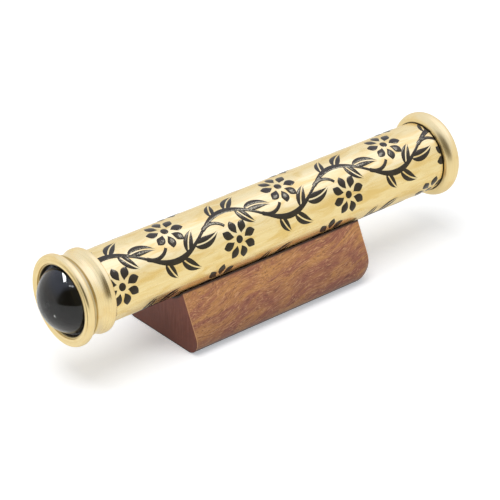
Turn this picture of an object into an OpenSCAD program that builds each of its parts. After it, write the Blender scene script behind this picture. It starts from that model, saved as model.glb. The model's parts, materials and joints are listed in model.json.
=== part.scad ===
// Teleidoscope: a brass tube with a ball lens, resting in a grooved wooden stand.
// X runs along the tube with the lens end at -X, Z is up, and the stand's underside lies at Z = 0.

/* [Barrel tube] */
// Outside diameter of the brass tube
tube_od = 31.75; // [28:0.25:36]
// Wall of the brass tube
tube_wall = 0.8; // [0.5:0.1:1.4]
// Length of the brass tube
tube_len = 188; // [150:1:230]
// Middle of the tube from the middle of the stand, towards the eyepiece
tube_shift = 4.6; // [-10:0.1:10]

/* [Ball lens] */
// How much larger the glass ball is than the outside of the tube, 0 where both are of one stock size
ball_over = 0; // [-2:0.25:2]
// Gap between the ball and the edges that hold it
ball_gap = 0.05; // [0.03:0.01:0.1]
// Wall of the rubber cup round the ball
cup_wall = 0.5; // [0.4:0.1:1]
// Thickness of the rubber cup's floor, against the end of the tube
cup_floor = 0.8; // [0.5:0.1:1.5]
// Width of the seat that the cup's floor gives the ball
cup_bite = 0.8; // [0.5:0.1:1.5]

/* [Lens collar] */
// Length of tube inside the collar
collar_grip = 2; // [2:0.1:6]
// Radial clearance between pieces that are fixed in one another
fixed_fit = 0.03; // [0.02:0.01:0.06]
// Metal between the collar's bore and the rim of its front bead
bead_wall = 3.65; // [3:0.05:5]
// Radius on the front edge of the bead
bead_round = 1.2; // [0.6:0.1:1.6]
// Width of the flat behind that edge
bead_land = 0.3; // [0.2:0.1:1]
// Metal between the collar's bore and the floor of the cove
cove_wall = 0.8; // [0.6:0.05:1.5]
// Radius of the cove behind the bead
cove_round = 3; // [2.5:0.1:3.5]
// Metal between the collar's bore and the outside of its band
band_wall = 1.8; // [1.6:0.1:2.5]
// Length of the collar's band
band_len = 7.8; // [6:0.1:9]
// Radius on the front edge of the band
band_front_round = 0.7; // [0.4:0.1:0.9]
// Radius on the back edge of the band
band_back_round = 1.4; // [0.8:0.1:1.6]
// Thickness of the ring that holds the ball in, along the barrel
retainer_t = 1.8; // [1.2:0.1:2.5]
// How far that ring laps over the ball
retainer_bite = 0.625; // [0.4:0.025:1]
// How much wider that ring is at its front edge than where it holds the ball
retainer_flare = 0.4; // [0.2:0.05:0.6]
// How far the collar's front face stands ahead of that ring
retainer_set = 1.2; // [0.1:0.05:1.5]
// Bevel on the two edges where that ring meets the collar
mouth_bevel = 0.3; // [0.15:0.05:0.4]

/* [Mirrors] */
// Thickness of the mirror glass
mirror_t = 2; // [1:0.1:3]
// Gap between the mirrors' outer edges and the inside of the tube
mirror_clear = 1.25; // [1:0.05:2]
// Gap between neighbouring mirrors at their edges
mirror_edge_gap = 0.1; // [0.05:0.05:0.3]
// Gap between the mirrors and the eyepiece plug
mirror_end_gap = 1.5; // [1:0.1:4]
// Thickness of the card mask in front of the mirrors
mask_t = 0.6; // [0.4:0.1:1]
// Gap between the ball and the mask
mask_gap = 0.2; // [0.1:0.05:0.5]
// Thickness of the tape that binds the mirrors
tape_t = 0.2; // [0.1:0.05:0.3]
// Width of one band of tape
tape_w = 12; // [8:1:20]
// Gap between the outer bands of tape and the felt packing
tape_gap = 4.8; // [2:0.1:20]
// Length of the felt packing at each end of the mirrors
packing_len = 10; // [6:1:16]
// Gap between loose-fitting inner pieces
inner_fit = 0.05; // [0.03:0.01:0.1]

/* [Eyepiece] */
// Gap between the end of the tube and the eyepiece's rim
rim_gap = 0.9; // [0.5:0.1:1.5]
// Radius of the eyepiece's round rim, across its section
rim_round = 4; // [3.5:0.1:5]
// How far the rim stands out beyond the tube
rim_over = 3.7; // [3:0.1:5]
// Length of the plug inside the tube, from the rim
plug_len = 12; // [10:0.5:20]
// Radial clearance of the plug in the tube, on which the barrel turns
plug_fit = 0.06; // [0.03:0.01:0.1]
// Wall of the plug
plug_wall = 2; // [1.8:0.1:2.6]
// Depth of the dished eye cup
eye_cup_depth = 3.7; // [3:0.1:5]
// How far the eye cup widens towards the eye
eye_cup_flare = 2.7; // [1.5:0.1:3]
// Thickness of the lip that the eye plate rests on
eye_lip_t = 1.2; // [0.8:0.1:2]
// Width of that lip
eye_lip_w = 1.1; // [0.8:0.1:1.5]
// Thickness of the eye plate
eye_plate_t = 1; // [0.6:0.1:2]
// Diameter of the hole to look through
eye_hole_d = 10; // [5:0.5:16]
// Bevel round the hole to look through
eye_hole_bevel = 0.6; // [0.3:0.1:0.9]
// Thickness of the clear window
window_t = 1.5; // [1:0.1:2]
// Thickness of the snap ring that holds the window
snap_t = 1; // [0.6:0.1:1.5]
// Width of the snap ring
snap_w = 1.4; // [1:0.1:2]
// How far the snap ring sits in its groove
snap_bite = 0.45; // [0.3:0.05:0.6]
// Opening between the snap ring's ends
snap_split = 4; // [2:0.5:8]
// Thickness of the rubber ring round the plug
o_ring_t = 1.2; // [1:0.1:1.6]
// Rubber ring from the plug's inner end
o_ring_inset = 3.5; // [3:0.5:5]

/* [Stand] */
// Length of the stand
stand_len = 99.6; // [70:0.2:140]
// Height of the stand's two top edges
stand_h = 27.3; // [24:0.1:32]
// Wood left under the groove
groove_floor = 21.4; // [16:0.1:22]
// Gap between the tube and the groove
groove_gap = 0.3; // [0.2:0.05:0.6]
// Flat on each top edge, beside the groove
edge_land = 0.3; // [0.2:0.1:3]
// Lean of the sides, in degrees from upright
side_lean = 26; // [5:0.1:35]
// Radius on the stand's two lower edges
foot_round = 6.3; // [2:0.1:8]

/* [Hidden] */
$fn = 128;

brass = [0.86, 0.72, 0.40];
rosewood = [0.45, 0.24, 0.15];
black = [0.10, 0.10, 0.11];
smoke_glass = [0.18, 0.18, 0.20];
clear = [0.85, 0.90, 0.92];
silver = [0.80, 0.82, 0.84];
felt = [0.30, 0.30, 0.32];

// Overlap that keeps a cutting shape clear of the face it cuts
cut = 1;

// Tube
tube_r = tube_od / 2;
tube_ir = tube_r - tube_wall;
tube_front = tube_shift - tube_len / 2;
tube_back = tube_shift + tube_len / 2;
axis_z = groove_floor + groove_gap + tube_r;

// Ball, its rubber cup and the ring that holds it
ball_r = (tube_od + ball_over) / 2;
cup_ir = min(tube_ir, ball_r - cup_bite);
grip_r = tube_r + fixed_fit;
cup_or = max(ball_r + ball_gap + cup_wall, grip_r);
collar_bore_r = cup_or + fixed_fit;
cup_front = tube_front - cup_floor;
ball_x = cup_front - sqrt(pow(ball_r + ball_gap, 2) - pow(cup_ir, 2));
retainer_ir = ball_r - retainer_bite;
retainer_back = ball_x - sqrt(pow(ball_r + ball_gap, 2) - pow(retainer_ir, 2));
retainer_front = retainer_back - retainer_t;

// Collar
collar_front = retainer_front - retainer_set;
collar_back = tube_front + collar_grip;
bead_r = collar_bore_r + bead_wall;
cove_floor_r = collar_bore_r + cove_wall;
cove_x = collar_front + bead_round + bead_land + cove_round;
band_r = collar_bore_r + band_wall;
band_front = collar_back - band_len;

// Eyepiece
rim_front = tube_back + rim_gap;
rim_x = rim_front + rim_round;
rim_back = rim_x + rim_round;
rim_mid_r = tube_r + rim_over - rim_round;
plug_r = tube_ir - plug_fit;
plug_bore_r = plug_r - plug_wall;
plug_front = rim_front - plug_len;
eye_lip_r = plug_bore_r - eye_lip_w;
eye_cup_x = rim_back - eye_cup_depth;
eye_lip_front = eye_cup_x - eye_lip_t;
plate_front = eye_lip_front - inner_fit - eye_plate_t;
window_front = plate_front - inner_fit - window_t;
snap_front = window_front - inner_fit - snap_t;
stack_r = plug_bore_r - inner_fit;
snap_groove_r = plug_bore_r + snap_bite;
o_ring_mid_r = tube_ir - inner_fit - o_ring_t / 2;
o_ring_groove_r = o_ring_mid_r - o_ring_t / 2 - inner_fit;
o_ring_x = plug_front + o_ring_inset;

// Mirrors, as wide as the tube lets three of them be
mirror_front = max(ball_x + ball_r, tube_front) + mask_gap + mask_t + inner_fit;
mirror_len = plug_front - mirror_end_gap - mirror_front;
mirror_reach = tube_ir - mirror_clear;
mirror_depth = mirror_t + mirror_edge_gap;
mirror_w = sqrt(3) / 2 * (sqrt(4 * pow(mirror_reach, 2) - 3 * pow(mirror_depth, 2)) - mirror_depth);
mirror_in_r = mirror_w / (2 * sqrt(3)) + mirror_edge_gap;
mirror_out_r = mirror_in_r + mirror_t;
mirror_corner_r = mirror_out_r * cos(60) + mirror_w / 2 * sin(60);
mirror_mid = mirror_front + mirror_len / 2;
tape_pitch = mirror_len / 2 - packing_len - tape_gap - tape_w / 2;
mask_front = mirror_front - inner_fit - mask_t;
packing_r = tube_ir - inner_fit;

// Stand
groove_r = tube_r + groove_gap;
groove_half_w = sqrt(pow(groove_r, 2) - pow(axis_z - stand_h, 2));
top_half_w = groove_half_w + edge_land;
foot_y = top_half_w + (stand_h - foot_round) * tan(side_lean) - foot_round / cos(side_lean);
foot_tangent = [foot_y + foot_round * cos(side_lean), foot_round + foot_round * sin(side_lean)];

// Stands a shape that was drawn upright along the barrel: its height becomes X
module along_barrel() {
    translate([0, 0, axis_z]) rotate([0, 90, 0]) children();
}

// Turns a half section round the barrel's axis: its width is the radius and its height is X
module turned() {
    along_barrel() rotate_extrude() children();
}

// Block of a half section between two radii and two places along the barrel
module section_block(r_in, r_out, x_from, x_to) {
    translate([r_in, x_from]) square([r_out - r_in, x_to - x_from]);
}

// The same block with a radius on its outer front edge and on its outer back edge
module rounded_section_block(r_in, r_out, x_from, x_to, front_round, back_round) {
    section_block(r_in, r_out - front_round, x_from, x_from + front_round);
    section_block(r_in, r_out, x_from + front_round, x_to - back_round);
    section_block(r_in, r_out - back_round, x_to - back_round, x_to);
    translate([r_out - front_round, x_from + front_round]) circle(front_round);
    translate([r_out - back_round, x_to - back_round]) circle(back_round);
}

// Flat disc or ring round the barrel's axis
module flat_ring(r_in, r_out, x_from, x_to) {
    turned() section_block(r_in, r_out, x_from, x_to);
}

// Outline of the three bound mirrors, moved outwards by a margin
module mirror_outline(margin) {
    intersection() {
        rotate(60) circle(2 * (mirror_out_r + margin), $fn = 3);
        circle(2 * (mirror_corner_r + margin), $fn = 3);
    }
}

// One mirror, turned about the barrel by an angle from the lowest place
module mirror_strip(turn) {
    color(silver) along_barrel() rotate(turn)
        translate([mirror_in_r, -mirror_w / 2, mirror_front]) cube([mirror_t, mirror_w, mirror_len]);
}

// Felt ring between the mirrors and the tube
module packing(x_from) {
    color(felt) along_barrel() translate([0, 0, x_from]) linear_extrude(packing_len) difference() {
        circle(packing_r);
        mirror_outline(inner_fit);
    }
}

module stand_block() {
    color(rosewood) translate([-stand_len / 2, 0, 0]) rotate([90, 0, 90]) linear_extrude(stand_len)
        difference() {
            union() {
                polygon([
                    [-foot_y, 0], [foot_y, 0], foot_tangent, [top_half_w, stand_h],
                    [-top_half_w, stand_h], [-foot_tangent.x, foot_tangent.y]
                ]);
                for (side = [-1, 1]) translate([side * foot_y, foot_round]) circle(foot_round);
            }
            translate([0, axis_z]) circle(groove_r);
        }
}

module eyepiece_ring() {
    color(brass) turned() difference() {
        union() {
            translate([rim_mid_r, rim_x]) circle(rim_round);
            section_block(eye_lip_r, rim_mid_r, eye_lip_front, eye_cup_x);
            section_block(plug_bore_r, plug_r, plug_front, rim_x);
        }
        section_block(0, plug_bore_r, plug_front - cut, eye_lip_front);
        section_block(0, eye_lip_r, eye_lip_front - cut, eye_cup_x + cut);
        polygon([
            [0, eye_cup_x], [eye_lip_r, eye_cup_x],
            [eye_lip_r + eye_cup_flare, rim_back], [eye_lip_r + eye_cup_flare, rim_back + cut],
            [0, rim_back + cut]
        ]);
        section_block(0, snap_groove_r, snap_front - inner_fit, window_front - inner_fit);
        section_block(
            o_ring_groove_r, plug_r + cut,
            o_ring_x - o_ring_t / 2 - inner_fit, o_ring_x + o_ring_t / 2 + inner_fit
        );
    }
}

module eye_plate() {
    color(black) turned() difference() {
        section_block(0, stack_r, plate_front, plate_front + eye_plate_t);
        polygon([
            [0, plate_front - cut], [eye_hole_d / 2, plate_front - cut],
            [eye_hole_d / 2, plate_front + eye_plate_t - eye_hole_bevel],
            [eye_hole_d / 2 + eye_hole_bevel + cut, plate_front + eye_plate_t + cut],
            [0, plate_front + eye_plate_t + cut]
        ]);
    }
}

module eye_window() {
    color(clear) flat_ring(0, stack_r, window_front, window_front + window_t);
}

module window_snap_ring() {
    color(silver) difference() {
        flat_ring(snap_groove_r - inner_fit - snap_w, snap_groove_r - inner_fit, snap_front, snap_front + snap_t);
        translate([snap_front - cut, -snap_split / 2, axis_z])
            cube([snap_t + 2 * cut, snap_split, snap_groove_r]);
    }
}

module plug_o_ring() {
    color(black) turned() translate([o_ring_mid_r, o_ring_x]) circle(o_ring_t / 2);
}

module barrel_tube() {
    color(brass) flat_ring(tube_ir, tube_r, tube_front, tube_back);
}

module lens_collar() {
    color(brass) turned() difference() {
        union() {
            difference() {
                union() {
                    section_block(0, bead_r - bead_round, collar_front, collar_front + bead_round);
                    section_block(0, bead_r, collar_front + bead_round, cove_x);
                    translate([bead_r - bead_round, collar_front + bead_round]) circle(bead_round);
                }
                translate([cove_floor_r + cove_round, cove_x]) circle(cove_round);
            }
            section_block(0, cove_floor_r, collar_front + bead_round, collar_back - band_back_round);
            rounded_section_block(0, band_r, band_front, collar_back, band_front_round, band_back_round);
        }
        section_block(0, grip_r, collar_front - cut, collar_back + cut);
        section_block(0, collar_bore_r, collar_front - cut, tube_front);
        polygon([
            [collar_bore_r - cut, collar_front - cut], [collar_bore_r + mouth_bevel + cut, collar_front - cut],
            [collar_bore_r - cut, collar_front + mouth_bevel + cut]
        ]);
    }
}

module lens_retainer() {
    retainer_or = collar_bore_r - fixed_fit;
    color(brass) turned() polygon([
        [retainer_ir + retainer_flare, retainer_front], [retainer_or - mouth_bevel, retainer_front],
        [retainer_or, retainer_front + mouth_bevel], [retainer_or, retainer_back], [retainer_ir, retainer_back]
    ]);
}

module ball_lens() {
    color(smoke_glass) translate([ball_x, 0, axis_z]) sphere(ball_r);
}

module ball_cup() {
    color(black) turned() {
        section_block(ball_r + ball_gap, cup_or, retainer_back, tube_front);
        section_block(cup_ir, cup_or, cup_front, tube_front);
    }
}

module front_mask() {
    color(black) along_barrel() translate([0, 0, mask_front]) linear_extrude(mask_t) difference() {
        circle(packing_r);
        rotate(60) circle(2 * (mirror_in_r - mirror_edge_gap), $fn = 3);
    }
}

module mirror_lower() {
    mirror_strip(0);
}

module mirror_right() {
    mirror_strip(120);
}

module mirror_left() {
    mirror_strip(240);
}

module mirror_tape() {
    color(black) along_barrel() for (step = [-1, 0, 1])
        translate([0, 0, mirror_mid + step * tape_pitch - tape_w / 2]) linear_extrude(tape_w) difference() {
            mirror_outline(inner_fit + tape_t);
            mirror_outline(inner_fit);
        }
}

module front_packing() {
    packing(mirror_front);
}

module rear_packing() {
    packing(mirror_front + mirror_len - packing_len);
}

stand_block();
eyepiece_ring();
eye_plate();
eye_window();
window_snap_ring();
plug_o_ring();
barrel_tube();
lens_collar();
lens_retainer();
ball_lens();
ball_cup();
front_mask();
mirror_lower();
mirror_right();
mirror_left();
mirror_tape();
front_packing();
rear_packing();
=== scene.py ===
# %% [markdown]
# A teleidoscope is a kaleidoscope that looks at the room: a ball lens gathers the view and three long
# mirrors repeat it. This one is a brass tube with a turned collar round the ball and a round-rimmed
# eyepiece, and it lies in the groove of a rosewood stand. The measured pieces are loaded first and are
# never moved, so what is modelled here is laid over them in metres, with no fitting.

# %% Load the measured pieces
import json
import math

import bmesh
import bpy
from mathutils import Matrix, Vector


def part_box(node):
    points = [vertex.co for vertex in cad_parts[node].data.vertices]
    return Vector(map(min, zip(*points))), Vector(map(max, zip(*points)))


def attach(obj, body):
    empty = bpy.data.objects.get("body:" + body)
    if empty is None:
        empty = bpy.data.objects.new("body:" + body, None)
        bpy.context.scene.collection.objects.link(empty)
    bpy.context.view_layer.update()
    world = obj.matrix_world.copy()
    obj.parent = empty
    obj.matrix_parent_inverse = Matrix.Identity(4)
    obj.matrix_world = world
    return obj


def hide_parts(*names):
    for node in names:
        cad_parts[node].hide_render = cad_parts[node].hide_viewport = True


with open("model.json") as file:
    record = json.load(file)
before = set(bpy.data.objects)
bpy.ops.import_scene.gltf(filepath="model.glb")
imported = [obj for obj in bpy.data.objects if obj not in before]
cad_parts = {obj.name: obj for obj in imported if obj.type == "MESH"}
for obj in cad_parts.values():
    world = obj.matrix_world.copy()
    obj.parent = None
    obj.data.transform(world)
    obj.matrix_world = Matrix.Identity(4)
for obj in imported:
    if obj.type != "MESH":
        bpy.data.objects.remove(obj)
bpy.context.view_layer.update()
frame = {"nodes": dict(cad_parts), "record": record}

MM = 0.001
print("measured pieces:", len(frame["nodes"]))

# %% [markdown]
# Nearly every piece is round and shares one axis, the line that the barrel turns about. So the sizes
# that matter are a place along that axis and a distance from it. They are read from the measured meshes
# rather than typed again, because a number that is written once can't disagree with itself.

# %% Measure the turned pieces
turning = next(j for j in frame["record"]["behaviour"]["joints"] if j["name"] == "barrel_turn")
AXIS_Z = turning["pos_m"][2]


def reach(name):
    """First and last place of a measured piece along the barrel, then its inner and outer radius."""
    points = [vertex.co for vertex in frame["nodes"][name].data.vertices]
    along = [point.x for point in points]
    radii = [math.hypot(point.y, point.z - AXIS_Z) for point in points]
    return min(along), max(along), min(radii), max(radii)


TUBE_FRONT, TUBE_BACK, TUBE_INNER_R, TUBE_R = reach("barrel_tube")
COLLAR_FRONT, COLLAR_BACK, GRIP_R, BEAD_R = reach("lens_collar")
print("tube radius %.3f mm, axis %.3f mm above the table" % (TUBE_R / MM, AXIS_Z / MM))

# %% [markdown]
# The camera stands where the photographer stood. A long lens about a metre away keeps the barrel's two
# ends nearly the same size, so the focal length is large. It is given in pixels of a square picture
# and turned into the millimetres that Blender's camera wants.

# %% Place the camera
VIEW_AZIMUTH = math.radians(-40.1)
VIEW_ELEVATION = math.radians(29.43)
VIEW_DISTANCE = 1.0074
VIEW_TARGET = Vector((-0.00491, -0.00361, 0.02774))
PICTURE_PX = 500
FOCAL_PX = 2332.45

camera_data = bpy.data.cameras.new("camera")
camera_data.sensor_width = 36
camera_data.lens = FOCAL_PX / PICTURE_PX * camera_data.sensor_width
camera = bpy.data.objects.new("camera", camera_data)
camera.rotation_euler = (math.pi / 2 - VIEW_ELEVATION, 0, VIEW_AZIMUTH)
backwards = camera.rotation_euler.to_matrix() @ Vector((0, 0, 1))
camera.location = VIEW_TARGET + VIEW_DISTANCE * backwards
bpy.context.collection.objects.link(camera)
bpy.context.scene.camera = camera
bpy.context.scene.view_settings.view_transform = "Standard"
print("lens %.1f mm" % camera_data.lens)

# %% [markdown]
# Every finish below is a small graph of nodes, and writing each link out in full would hide the idea.
# These helpers make a node in one line: an input is given as a number, or as another node's socket, which
# links it. The colour mixer has its own helper, because that node keeps several inputs of one name.

# %% Helpers for node graphs
def node(tree, kind, inputs=None, **settings):
    """Adds a shader node. An input that is a socket is linked, and any other value is set."""
    made = tree.nodes.new("ShaderNode" + kind)
    for name, value in settings.items():
        setattr(made, name, value)
    for name, value in (inputs or {}).items():
        if isinstance(value, bpy.types.NodeSocket):
            tree.links.new(value, made.inputs[name])
        else:
            made.inputs[name].default_value = value
    return made


def mixed(tree, factor, first, second, blend="MIX"):
    """Colour between two colours, each given as three numbers or as a socket."""
    first, second = [(*c, 1) if isinstance(c, tuple) else c for c in (first, second)]
    made = node(tree, "Mix", {0: factor, 6: first, 7: second}, data_type="RGBA", blend_type=blend)
    return made.outputs[2]


def ranged(tree, value, low, high, to_low, to_high):
    """Value taken smoothly from one range to another."""
    inputs = {"Value": value, "From Min": low, "From Max": high, "To Min": to_low, "To Max": to_high}
    return node(tree, "MapRange", inputs, interpolation_type="SMOOTHSTEP").outputs["Result"]


def mixed_number(tree, factor, first, second):
    """Number between two others."""
    return node(tree, "Mix", {0: factor, 2: first, 3: second}).outputs[0]


def joined(tree, operation, first, second=0.0):
    """One or two numbers put through an operation such as ADD."""
    return node(tree, "Math", {0: first, 1: second}, operation=operation).outputs[0]


def shiny_rays(tree):
    """Light Path node, and 1 for the rays that leave shiny metal or glass."""
    rays = node(tree, "LightPath").outputs
    return rays, joined(tree, "MAXIMUM", rays["Is Glossy Ray"], rays["Is Transmission Ray"])


# %% [markdown]
# Polished brass is a mirror, so what it reflects matters more than its own colour. The studio is bright
# nearly all round, brightest and coolest high on the right, and dark only behind the camera and a little
# below it. Cards and walls could stand round the table, but they would cast shadows of their own. So the
# studio is painted on the world's sky by direction. Rays that light matt surfaces see a plain dimmer sky,
# so that shadows keep their shape, and the camera sees white.

# %% Paint the studio on the sky
SKY_FOR_MATT = (0.42, 0.42, 0.42)
SKY_FOR_SHINE = (0.91, 0.97, 1.19)
SKY_BRIGHT = (1.24, 1.30, 1.75)
SKY_LOW = (0.92, 0.89, 0.845)
SKY_DARK = (0.135, 0.115, 0.08)
SKY_SEEN = (1.0, 1.0, 1.0)
HORIZON_FADE = (0.1, 0.6)
BRIGHT_SIDE = (0.56, -0.05, 0.83)
BRIGHT_SPAN = (0.76, 0.97)
DARK_SIDE = (-0.70, -0.69, 0.21)
DARK_SPAN = (0.62, 0.85)

world = bpy.data.worlds.new("studio")
bpy.context.scene.world = world
world.use_nodes = True
world.cycles.sampling_method = "NONE"
sky = world.node_tree
direction = node(sky, "TexCoord").outputs["Generated"]


def towards(place, low, high):
    """From 0 to 1 as the direction comes nearer to a place on the sky."""
    closeness = node(sky, "VectorMath", {0: direction, 1: place}, operation="DOT_PRODUCT")
    return ranged(sky, closeness.outputs["Value"], low, high, 0, 1)


height = node(sky, "SeparateXYZ", {0: direction}).outputs["Z"]
near_horizon = ranged(sky, joined(sky, "ABSOLUTE", height), *HORIZON_FADE, 1, 0)
studio = mixed(sky, near_horizon, SKY_FOR_SHINE, SKY_LOW)
studio = mixed(sky, towards(BRIGHT_SIDE, *BRIGHT_SPAN), studio, SKY_BRIGHT)
studio = mixed(sky, towards(DARK_SIDE, *DARK_SPAN), studio, SKY_DARK)

rays, shiny = shiny_rays(sky)
by_ray = mixed(sky, shiny, SKY_FOR_MATT, studio)
seen_sky = mixed(sky, rays["Is Camera Ray"], by_ray, SKY_SEEN)
sky.links.new(seen_sky, sky.nodes["Background"].inputs["Color"])
print("sky nodes:", len(sky.nodes))

# %% [markdown]
# The table is a plain white sheet, far larger than the picture. A matt sheet alone would render grey, so
# part of its white is its own light. The rest is lit by the lamps, and that part keeps the soft shadow
# of the barrel. To the camera the two add up to a little over white, so only the shadow's core is grey.
# Shiny surfaces mirror a sheet that is a little under white and a little warm.

# %% Lay the table
TABLE_SIZE = 6.0
TABLE_SEEN = ((1.0, 1.0, 1.0, 1), (0.252, 0.266, 0.286, 1))
TABLE_MIRRORED = ((0.48, 0.48, 0.48, 1), (0.475, 0.47, 0.45, 1))
TABLE_PLAIN = (0.55, 0.55, 0.55, 1)

sheet = bmesh.new()
bmesh.ops.create_grid(sheet, x_segments=1, y_segments=1, size=TABLE_SIZE / 2)
table_mesh = bpy.data.meshes.new("table")
sheet.to_mesh(table_mesh)
sheet.free()
table = bpy.data.objects.new("table", table_mesh)
bpy.context.collection.objects.link(table)

white_sheet = bpy.data.materials.new("white sheet")
white_sheet.use_nodes = True
white_sheet.cycles.emission_sampling = "NONE"
tree = white_sheet.node_tree
tree.nodes.remove(tree.nodes["Principled BSDF"])


def white(lit, own):
    """Shader that is partly lit by the lamps and partly its own light."""
    matt = node(tree, "BsdfDiffuse", {"Color": lit}).outputs[0]
    glow = node(tree, "Emission", {"Color": own}).outputs[0]
    return node(tree, "AddShader", {0: matt, 1: glow}).outputs[0]


rays, shiny = shiny_rays(tree)
plain = node(tree, "BsdfDiffuse", {"Color": TABLE_PLAIN}).outputs[0]
by_ray = node(tree, "MixShader", {0: shiny, 1: plain, 2: white(*TABLE_MIRRORED)}).outputs[0]
shown = node(tree, "MixShader", {0: rays["Is Camera Ray"], 1: by_ray, 2: white(*TABLE_SEEN)}).outputs[0]
tree.links.new(shown, tree.nodes["Material Output"].inputs["Surface"])
table_mesh.materials.append(white_sheet)
print("table %.1f m wide" % TABLE_SIZE)

# %% [markdown]
# Two lamps shape the shadows: a broad softbox overhead, a little towards the lens, and one in front that
# fills the stand's side. Each is an area lamp, because a point would draw hard shadows, and each is aimed
# at the barrel by its own -Z axis. Both stay out of reflections, because the brass mirrors the painted
# sky instead.

# %% Hang the lamps
def softbox_lamp(name, place, size, power, in_reflections=False):
    """Rectangular lamp with a place and a size in metres and a power in watts, aimed at the barrel."""
    lamp_data = bpy.data.lights.new(name, "AREA")
    lamp_data.shape = "RECTANGLE"
    lamp_data.size, lamp_data.size_y = size
    lamp_data.energy = power
    lamp = bpy.data.objects.new(name, lamp_data)
    lamp.location = place
    aim = Vector((0, 0, AXIS_Z)) - lamp.location
    lamp.rotation_euler = aim.to_track_quat("-Z", "Y").to_euler()
    lamp.visible_glossy = in_reflections
    lamp.visible_camera = False
    bpy.context.collection.objects.link(lamp)
    return lamp


softbox_lamp("overhead softbox", (-0.22, 0.00, 0.98), (0.80, 0.60), 5.4)
softbox_lamp("side fill", (0.55, -1.20, 0.75), (0.9, 0.7), 5.0)
print("lamps:", len(bpy.data.lights))

# %% [markdown]
# A finish starts as Blender's Principled shader with a node graph in front of it. Patterns read Object
# coordinates, which are metres here, so a noise is given the size of its grains: streaks thirty
# millimetres long and under one wide are simply that. A Mapping node of the Texture kind turns the
# pattern first and stretches it afterwards, which is the order that a slanting grain needs.

# %% Helpers for finishes
def new_finish(name):
    """Material with its node tree, its Principled shader and the place on the piece in metres."""
    material = bpy.data.materials.new(name)
    material.use_nodes = True
    tree = material.node_tree
    place = node(tree, "TexCoord").outputs["Object"]
    return material, tree, tree.nodes["Principled BSDF"], place


def set_plain(shader, **values):
    """Sets sockets that are the same all over the piece. Underscores stand for spaces."""
    for name, value in values.items():
        shader.inputs[name.replace("_", " ")].default_value = value


def noise(tree, place, grain, detail=3.0, turn=(0, 0, 0), warp=0.0):
    """Noise between 0 and 1, with the size of its grains in millimetres on each axis after a turn."""
    size = [MM * length for length in grain]
    inputs = {"Vector": place, "Scale": size, "Rotation": turn}
    mapped = node(tree, "Mapping", inputs, vector_type="TEXTURE").outputs[0]
    inputs = {"Vector": mapped, "Scale": 1.0, "Detail": detail, "Roughness": 0.55, "Distortion": warp}
    return node(tree, "TexNoise", inputs).outputs[0]


def coloured(tree, shader, colour):
    """Links a colour to the shader's base colour."""
    tree.links.new(colour, shader.inputs["Base Color"])


def roughened(tree, shader, factor, smooth, rough, low=0.35, high=0.65):
    """Roughness between two values, by a noise."""
    tree.links.new(ranged(tree, factor, low, high, smooth, rough), shader.inputs["Roughness"])


def bumped(tree, shader, height, depth):
    """Small relief, given as the depth in millimetres of a height between 0 and 1."""
    made = node(tree, "Bump", {"Height": height, "Distance": depth * MM})
    tree.links.new(made.outputs[0], shader.inputs["Normal"])


# %% [markdown]
# The tube is drawn brass, polished lengthwise with a cloth, so it has fine streaks along the barrel and
# warmer clouds where the lacquer is uneven. A satin polish blurs what it reflects, so the roughness is
# well above that of a mirror and wanders with the streaks. An anisotropic shader could smear reflections
# too, but streaks with a length and a width in millimetres are easier to match.

# %% Brass of the tube
TUBE_PALE = (0.96, 0.80, 0.425)
TUBE_DEEP = (0.93, 0.735, 0.35)
TUBE_WARM = (0.83, 0.60, 0.215)


def drawn_brass():
    """Brass of the tube, streaked along the barrel."""
    material, tree, shader, place = new_finish("drawn brass")
    set_plain(shader, Metallic=1.0)
    streaks = noise(tree, place, (34, 0.8, 0.8), detail=4)
    clouds = noise(tree, place, (17, 4.5, 4.5), detail=4, warp=0.8)
    colour = mixed(tree, ranged(tree, streaks, 0.30, 0.70, 0, 1), TUBE_DEEP, TUBE_PALE)
    colour = mixed(tree, ranged(tree, clouds, 0.42, 0.68, 0, 0.9), colour, TUBE_WARM)
    coloured(tree, shader, colour)
    roughened(tree, shader, streaks, 0.36, 0.25)
    bumped(tree, shader, streaks, 0.004)
    return material


def blackened_brass():
    """Inside of the tube, blackened so that stray light dies in it."""
    material, tree, shader, place = new_finish("blackened brass")
    stain = noise(tree, place, (6, 2, 2), detail=4)
    coloured(tree, shader, mixed(tree, stain, (0.010, 0.010, 0.011), (0.024, 0.022, 0.020)))
    roughened(tree, shader, stain, 0.55, 0.8)
    return material


tube_brass = drawn_brass()
tube_black = blackened_brass()
print("tube finishes:", tube_brass.name, "and", tube_black.name)

# %% [markdown]
# The collar and the eyepiece were polished while they turned in a lathe, so their streaks are rings: the
# noise reads the place along the axis and the distance from it, and nothing of the angle. The cloth
# doesn't reach into the corners, where brass goes brown, and the shade that falls into those corners and
# gaps is painted there with the tarnish. Each piece names its corners by the same two numbers, and the
# tarnish and painted shade fade out a small span away from them. Where they are thick the metal is hidden.

# %% Brass of the rings
RING_PALE = (0.955, 0.785, 0.43)
RING_DEEP = (0.895, 0.705, 0.345)
RING_WARM = (0.86, 0.625, 0.26)
# Tarnish and painted shade in the corners and gaps of the turned pieces.
TARNISH_AND_SHADE = (0.030, 0.019, 0.009)
TARNISH_AND_SHADE_CORE = 0.4
RING_POLISH = (0.24, 0.32)


def section_place(tree, place):
    """Place in the turned section: along the barrel, and away from its axis."""
    axes = node(tree, "SeparateXYZ", {0: place}).outputs
    above = joined(tree, "SUBTRACT", axes["Z"], AXIS_Z)
    across = node(tree, "CombineXYZ", {"X": axes["Y"], "Y": above}).outputs[0]
    away = node(tree, "VectorMath", {0: across}, operation="LENGTH").outputs["Value"]
    return node(tree, "CombineXYZ", {"X": axes["X"], "Y": away}).outputs[0]


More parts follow.
